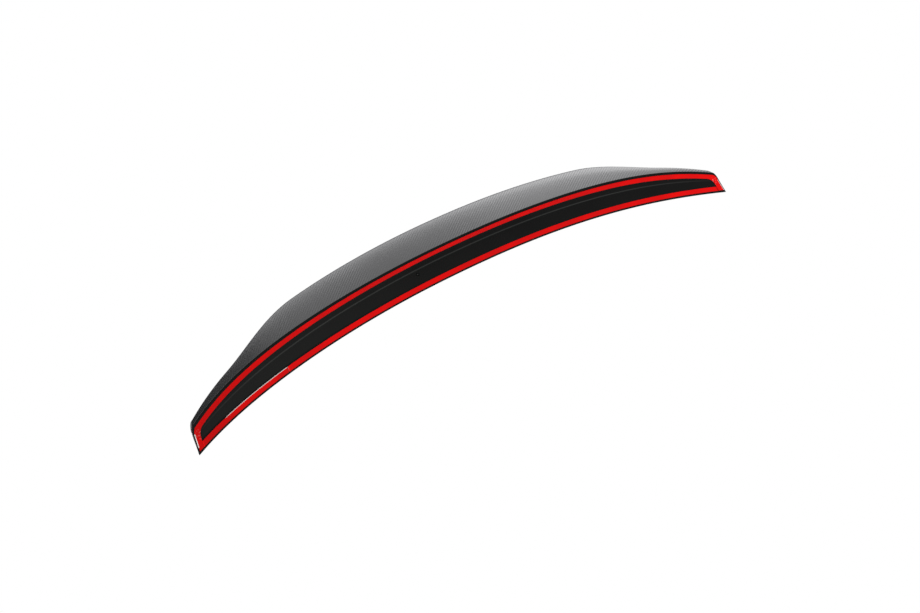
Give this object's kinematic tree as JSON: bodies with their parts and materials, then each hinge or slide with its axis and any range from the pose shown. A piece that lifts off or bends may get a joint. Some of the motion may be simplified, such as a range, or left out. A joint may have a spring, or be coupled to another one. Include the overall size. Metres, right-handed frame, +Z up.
{
  "type": "car rear spoiler",
  "caption": "Boot lid spoiler with a raised, shouldered trailing edge, a glossy carbon-look outer face and adhesive tape on its mounting face.",
  "frame": {"origin": "centre line of the car, foot of the spoiler's leading edge", "axes": "+Z up, +X across the car, +Y towards the front of the car, so the lip is at -Y"},
  "size_m": [1.2398, 0.1742, 0.1046],
  "materials": {
    "body": "clear-coated twill carbon look outside, matte black moulding on the mounting face",
    "foam": "pale closed-cell acrylic foam",
    "liner": "glossy red peel-off film"
  },
  "bodies": {
    "root": {"spoiler_body": "body", "rear_tape_foam": "foam", "rear_tape_liner": "liner", "front_tape_left_foam": "foam", "front_tape_left_liner": "liner", "front_tape_main_foam": "foam", "front_tape_main_liner": "liner"}
  },
  "joints": []
}
